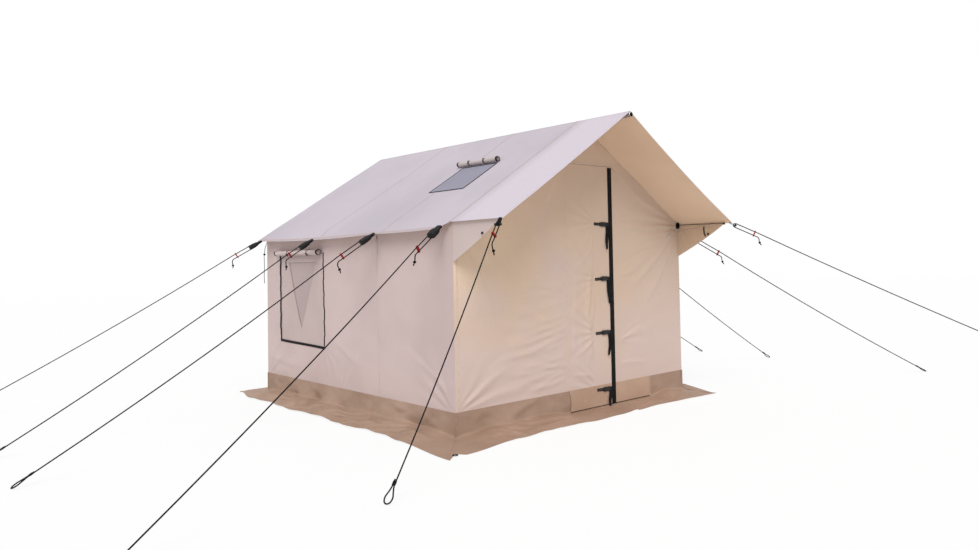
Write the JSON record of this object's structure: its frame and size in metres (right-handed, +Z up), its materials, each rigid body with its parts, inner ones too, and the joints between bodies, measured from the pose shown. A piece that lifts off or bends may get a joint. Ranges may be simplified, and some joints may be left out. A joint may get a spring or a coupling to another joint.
{
  "type": "canvas wall tent",
  "caption": "Canvas wall tent on an inner pole frame, with awning, zipped two-leaf door, side windows with rolled flaps, stove opening, sod cloth and ten guy lines.",
  "frame": {"origin": "on the ground under the middle of the tent's outline, guy lines and their tensioners left out", "axes": "+X to the right seen from the door, +Y from the door to the back wall, +Z up"},
  "size_m": [7.0126, 7.0565, 2.295],
  "materials": {
    "black_plastic": "black moulded plastic",
    "black_rope": "black braided rope",
    "black_webbing": "black webbing",
    "pole_steel": "galvanised tube",
    "red_alloy": "red anodised",
    "roof_canvas": "white cotton canvas",
    "sod_cloth": "tan vinyl-coated cloth",
    "stove_patch": "blue-grey fire-resistant cloth",
    "wall_canvas": "white cotton canvas in warm shade",
    "window_mesh": "grey insect mesh"
  },
  "bodies": {
    "tent": {"awning_gusset_left": "wall_canvas", "awning_gusset_right": "wall_canvas", "eave_pole_left": "pole_steel", "eave_pole_right": "pole_steel", "guy_line_left_1": "black_rope", "guy_line_left_2": "black_rope", "guy_line_left_3": "black_rope", "guy_line_left_4": "black_rope", "guy_line_left_awning": "black_rope", "guy_line_right_1": "black_rope", "guy_line_right_2": "black_rope", "guy_line_right_3": "black_rope", "guy_line_right_4": "black_rope", "guy_line_right_awning": "black_rope", "hanging_cord": "black_rope", "leg_back_left": "pole_steel", "leg_back_right": "pole_steel", "leg_front_left": "pole_steel", "leg_front_right": "pole_steel", "rafter_back_left": "pole_steel", "rafter_back_right": "pole_steel", "rafter_front_left": "pole_steel", "rafter_front_right": "pole_steel", "ridge_pole": "pole_steel", "roof_canvas": "roof_canvas", "sod_cloth_back": "sod_cloth", "sod_cloth_front_left": "sod_cloth", "sod_cloth_front_right": "sod_cloth", "sod_cloth_left": "sod_cloth", "sod_cloth_right": "sod_cloth", "stove_flap_roll": "roof_canvas", "stove_opening_patch": "stove_patch", "wall_back": "wall_canvas", "wall_front": "wall_canvas", "wall_left": "wall_canvas", "wall_right": "wall_canvas", "window_curtain_left": "wall_canvas", "window_curtain_right": "wall_canvas", "window_flap_roll_left": "wall_canvas", "window_flap_roll_right": "wall_canvas", "window_screen_left": "window_mesh", "window_screen_right": "window_mesh"},
    "door_left": {"door_leaf_left": "wall_canvas"},
    "zip_slider": {"zip_slider": "black_plastic"},
    "door_right": {"door_leaf_right": "wall_canvas", "zip_strip": "black_webbing"},
    "buckle_plug_1": {"buckle_plug_1": "black_plastic"},
    "buckle_plug_2": {"buckle_plug_2": "black_plastic"},
    "buckle_plug_3": {"buckle_plug_3": "black_plastic"},
    "buckle_plug_4": {"buckle_plug_4": "black_plastic"},
    "tensioner_left_1": {"tensioner_left_1": "red_alloy"},
    "tensioner_left_2": {"tensioner_left_2": "red_alloy"},
    "tensioner_left_3": {"tensioner_left_3": "red_alloy"},
    "tensioner_left_4": {"tensioner_left_4": "red_alloy"},
    "tensioner_left_awning": {"tensioner_left_awning": "red_alloy"},
    "tensioner_right_1": {"tensioner_right_1": "red_alloy"},
    "tensioner_right_2": {"tensioner_right_2": "red_alloy"},
    "tensioner_right_3": {"tensioner_right_3": "red_alloy"},
    "tensioner_right_4": {"tensioner_right_4": "red_alloy"},
    "tensioner_right_awning": {"tensioner_right_awning": "red_alloy"}
  },
  "joints": [
    {"name": "left_leaf_swing", "type": "hinge", "parent": "tent", "child": "door_left", "pos_m": [-0.15, -1.3605, 1], "axis": [0, 0, -1], "range_deg": [0, 100]},
    {"name": "right_leaf_swing", "type": "hinge", "parent": "tent", "child": "door_right", "pos_m": [0.78, -1.3575, 1], "axis": [0, 0, -1], "range_deg": [0, 45]},
    {"name": "zip_slide", "type": "slide", "parent": "door_left", "child": "zip_slider", "axis": [0, 0, 1], "range_m": [0, 1.74]},
    {"name": "buckle_release_1", "type": "slide", "parent": "door_left", "child": "buckle_plug_1", "axis": [1, 0, 0], "range_m": [0, 0.04]},
    {"name": "buckle_release_2", "type": "slide", "parent": "door_left", "child": "buckle_plug_2", "axis": [1, 0, 0], "range_m": [0, 0.04]},
    {"name": "buckle_release_3", "type": "slide", "parent": "door_left", "child": "buckle_plug_3", "axis": [1, 0, 0], "range_m": [0, 0.04]},
    {"name": "buckle_release_4", "type": "slide", "parent": "door_left", "child": "buckle_plug_4", "axis": [1, 0, 0], "range_m": [0, 0.04]},
    {"name": "slide_left_1", "type": "slide", "parent": "tent", "child": "tensioner_left_1", "axis": [-0.7893, -0.323, -0.5223], "range_m": [-0.05, 0.025]},
    {"name": "slide_left_2", "type": "slide", "parent": "tent", "child": "tensioner_left_2", "axis": [-0.836, 0.0324, -0.5478], "range_m": [-0.05, 0.025]},
    {"name": "slide_left_3", "type": "slide", "parent": "tent", "child": "tensioner_left_3", "axis": [-0.8392, -0.0077, -0.5438], "range_m": [-0.05, 0.025]},
    {"name": "slide_left_4", "type": "slide", "parent": "tent", "child": "tensioner_left_4", "axis": [-0.7907, 0.3249, -0.5189], "range_m": [-0.05, 0.025]},
    {"name": "slide_left_awning", "type": "slide", "parent": "tent", "child": "tensioner_left_awning", "axis": [-0.5503, -0.1771, -0.816], "range_m": [-0.05, 0.025]},
    {"name": "slide_right_1", "type": "slide", "parent": "tent", "child": "tensioner_right_1", "axis": [0.749, -0.4424, -0.4932], "range_m": [-0.05, 0.025]},
    {"name": "slide_right_2", "type": "slide", "parent": "tent", "child": "tensioner_right_2", "axis": [0.8287, -0.1362, -0.5429], "range_m": [-0.05, 0.025]},
    {"name": "slide_right_3", "type": "slide", "parent": "tent", "child": "tensioner_right_3", "axis": [0.8285, -0.1589, -0.5369], "range_m": [-0.05, 0.025]},
    {"name": "slide_right_4", "type": "slide", "parent": "tent", "child": "tensioner_right_4", "axis": [0.773, 0.3812, -0.5072], "range_m": [-0.05, 0.025]},
    {"name": "slide_right_awning", "type": "slide", "parent": "tent", "child": "tensioner_right_awning", "axis": [0.5859, -0.6911, -0.4231], "range_m": [-0.05, 0.025]}
  ]
}
